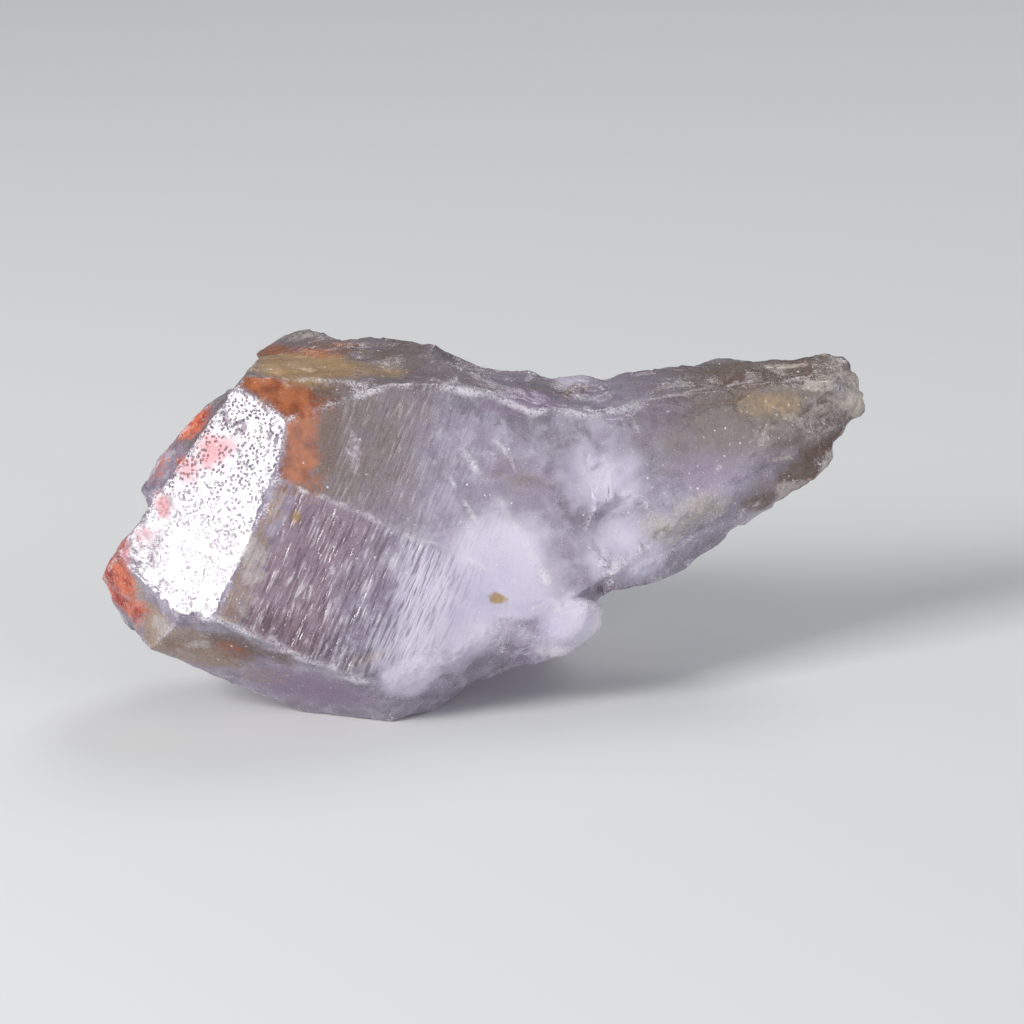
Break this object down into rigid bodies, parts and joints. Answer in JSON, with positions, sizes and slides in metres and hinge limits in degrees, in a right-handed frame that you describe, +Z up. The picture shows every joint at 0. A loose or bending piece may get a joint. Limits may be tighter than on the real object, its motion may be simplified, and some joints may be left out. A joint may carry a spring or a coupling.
{
  "type": "amethyst crystal",
  "caption": "Small broken amethyst point lying on its side: a prism with a bright sloping end face, tapering to a rough shard at its far end.",
  "frame": {"origin": "on the surface that the crystal lies on, under the middle of its bounding box", "axes": "+X from the tip to the tail, +Y away from the striated front face, +Z up"},
  "size_m": [0.0398, 0.017, 0.0184],
  "materials": {
    "amethyst": "clear to milky pale violet quartz with smoky and rust-red zones, glossy growth faces and rough breaks"
  },
  "bodies": {
    "root": {"amethyst_crystal": "amethyst"}
  },
  "joints": []
}
